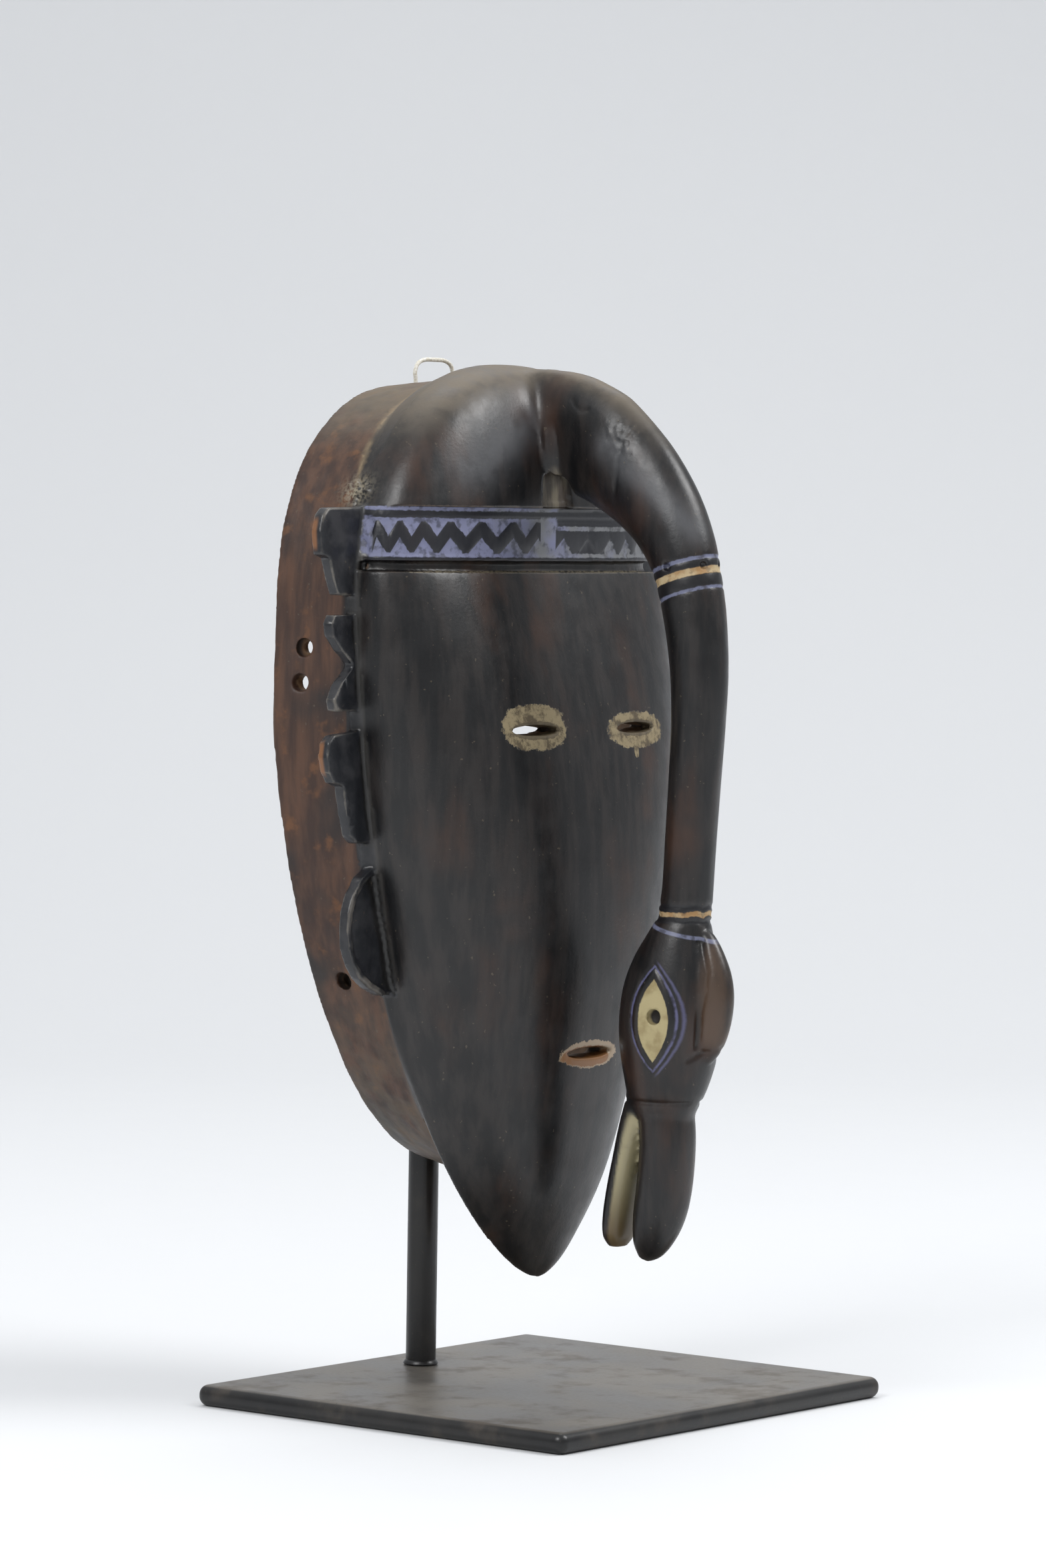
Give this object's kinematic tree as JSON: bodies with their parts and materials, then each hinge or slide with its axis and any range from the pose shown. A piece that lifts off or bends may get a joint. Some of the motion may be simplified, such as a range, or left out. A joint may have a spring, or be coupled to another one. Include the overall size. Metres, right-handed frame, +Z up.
{
  "type": "carved mask on stand",
  "caption": "Carved wooden face mask with a long-necked bird arching over the face, held on a steel rod with a flat foot plate.",
  "frame": {"origin": "on the floor, under the middle of the foot plate", "axes": "+Z up; the mask looks along -Y; +X is the mask's own left"},
  "size_m": [0.209, 0.1748, 0.3954],
  "materials": {
    "carved_wood": "satin dark patina, worn to red-brown, with painted bands",
    "black_steel": "blackened, satin",
    "loop_cord": "pale waxed string, matte"
  },
  "bodies": {
    "root": {"mask": "carved_wood", "stand_plate": "black_steel", "stand_rod": "black_steel", "hanging_loop": "loop_cord"}
  },
  "joints": []
}
